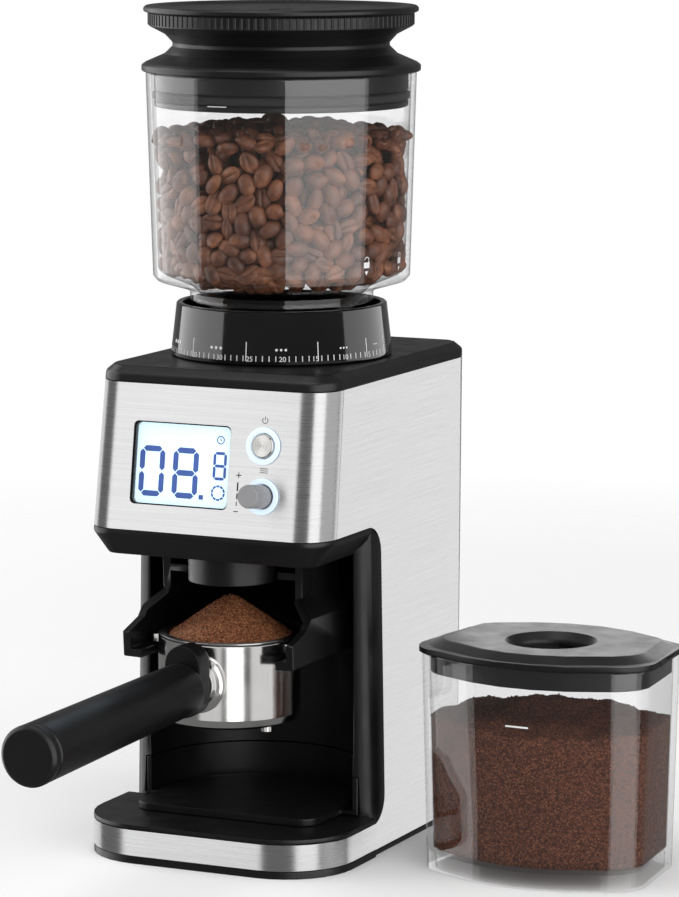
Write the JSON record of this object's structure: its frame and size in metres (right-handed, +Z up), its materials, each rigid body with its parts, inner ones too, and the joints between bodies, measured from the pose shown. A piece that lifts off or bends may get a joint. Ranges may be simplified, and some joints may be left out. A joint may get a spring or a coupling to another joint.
{
  "type": "burr coffee grinder",
  "caption": "Countertop conical burr coffee grinder with a clear bean hopper, numbered grind dial, lit control panel, portafilter on a holder fork, catch tray and separate grounds container.",
  "frame": {"origin": "on the worktop under the common axis of the hopper, dial and burrs", "axes": "+Z up, -Y towards the front where the portafilter handle points, +X to the right hand of a person facing the machine"},
  "size_m": [0.2642, 0.3281, 0.386],
  "materials": {
    "satin_black": "satin moulded, fine texture",
    "gloss_black": "high gloss moulded, smoky",
    "brushed_steel": "brushed stainless sheet, grain running level",
    "polished_steel": "polished",
    "burr_steel": "machined and hardened steel",
    "zinc": "die cast, as cast",
    "brass": "sintered bronze or cut brass",
    "clear": "clear moulded copolyester, slightly smoky",
    "rubber": "soft, matt",
    "board": "solder mask",
    "backlight": "lit from behind, pale blue",
    "nylon": "natural moulded nylon",
    "grey_plastic": "moulded, satin"
  },
  "bodies": {
    "housing": {"base_plate": "satin_black", "base_strip": "brushed_steel", "main_housing": "satin_black", "steel_wrap": "brushed_steel", "front_panel": "brushed_steel", "top_cover": "satin_black", "display_window": "clear", "display_module": "backlight", "control_board": "board", "button_light_ring": "backlight", "power_switch": "grey_plastic", "knob_bezel": "polished_steel", "rotary_encoder": "grey_plastic", "power_inlet": "satin_black", "hopper_switch": "grey_plastic", "motor_can": "zinc", "motor_end_cap": "zinc", "idler_axle": "polished_steel", "gearbox_housing": "zinc", "gearbox_cover": "zinc", "grinding_chamber": "zinc", "chute_nozzle": "satin_black", "shaft_bearing": "brass", "foot_front_left": "rubber", "base_screw_front_left": "zinc", "foot_front_right": "rubber", "base_screw_front_right": "zinc", "foot_rear_left": "rubber", "base_screw_rear_left": "zinc", "foot_rear_right": "rubber", "base_screw_rear_right": "zinc"},
    "rotor": {"motor_rotor": "burr_steel", "motor_pinion": "brass"},
    "idler": {"idler_gear": "nylon"},
    "burr_drive": {"drive_gear": "burr_steel", "burr_shaft": "polished_steel", "sweeper": "nylon", "cone_burr": "burr_steel", "burr_bolt": "zinc"},
    "dial": {"grind_dial": "gloss_black"},
    "carrier": {"burr_carrier": "satin_black", "ring_burr": "burr_steel"},
    "bayonet": {"bayonet_ring": "satin_black"},
    "hopper_body": {"hopper": "clear"},
    "lid": {"hopper_lid": "satin_black", "lid_gasket": "rubber"},
    "power_key": {"power_button": "polished_steel"},
    "encoder": {"encoder_shaft": "zinc"},
    "knob": {"menu_knob": "grey_plastic"},
    "fork": {"holder_fork": "satin_black"},
    "portafilter": {"portafilter_bowl": "polished_steel", "filter_basket": "brushed_steel", "spout_left": "polished_steel", "spout_right": "polished_steel", "handle_collar": "satin_black", "handle_grip": "satin_black", "handle_end_cap": "satin_black"},
    "tray": {"catch_tray": "satin_black"},
    "container": {"container_bin": "clear"},
    "container_cap": {"container_lid": "satin_black"}
  },
  "joints": [
    {"name": "motor_spin", "type": "hinge", "parent": "housing", "child": "rotor", "pos_m": [0, 0.0485, 0.1], "axis": [0, 0, 1], "continuous": true},
    {"name": "idler_spin", "type": "hinge", "parent": "housing", "child": "idler", "pos_m": [0.01766, 0.02425, 0.15], "axis": [0, 0, 1], "continuous": true},
    {"name": "burr_spin", "type": "hinge", "parent": "housing", "child": "burr_drive", "pos_m": [0, 0, 0.18], "axis": [0, 0, 1], "continuous": true},
    {"name": "dial_turn", "type": "hinge", "parent": "housing", "child": "dial", "pos_m": [0, 0, 0.235], "axis": [0, 0, 1], "range_deg": [-90, 76]},
    {"name": "burr_lift", "type": "slide", "parent": "housing", "child": "carrier", "axis": [0, 0, 1], "range_m": [-0.0008, 0.0007]},
    {"name": "bayonet_turn", "type": "hinge", "parent": "housing", "child": "bayonet", "pos_m": [0, 0, 0.228], "axis": [0, 0, 1], "range_deg": [0, 28]},
    {"name": "hopper_lift", "type": "slide", "parent": "bayonet", "child": "hopper_body", "axis": [0, 0, 1], "range_m": [0, 0.12]},
    {"name": "lid_lift", "type": "slide", "parent": "hopper_body", "child": "lid", "axis": [0, 0, 1], "range_m": [0, 0.12]},
    {"name": "power_press", "type": "slide", "parent": "housing", "child": "power_key", "axis": [0, 0.9887, -0.1498], "range_m": [0, 0.0015], "stiffness_N_per_m": 900},
    {"name": "knob_press", "type": "slide", "parent": "housing", "child": "encoder", "axis": [0, 0.9887, -0.1498], "range_m": [0, 0.0008], "stiffness_N_per_m": 1500},
    {"name": "knob_turn", "type": "hinge", "parent": "encoder", "child": "knob", "pos_m": [0.0298, -0.08631, 0.17228], "axis": [0, -0.9887, 0.1498], "continuous": true},
    {"name": "fork_slide", "type": "slide", "parent": "housing", "child": "fork", "axis": [0, -1, 0], "range_m": [0, 0.12]},
    {"name": "portafilter_slide", "type": "slide", "parent": "fork", "child": "portafilter", "axis": [0, -1, 0], "range_m": [0, 0.15]},
    {"name": "tray_slide", "type": "slide", "parent": "housing", "child": "tray", "axis": [0, -1, 0], "range_m": [0, 0.12]},
    {"name": "container_lift", "type": "slide", "parent": "housing", "child": "container", "axis": [0, 0, 1], "range_m": [0, 0.15]},
    {"name": "container_lid_lift", "type": "slide", "parent": "container", "child": "container_cap", "axis": [0, 0, 1], "range_m": [0, 0.08]}
  ],
  "couplings": [
    {"joint": "idler_spin", "follows": "motor_spin", "ratio": -0.33333},
    {"joint": "burr_spin", "follows": "motor_spin", "ratio": 0.11111},
    {"joint": "burr_lift", "follows": "dial_turn", "m_per_rad": 0.0005}
  ]
}
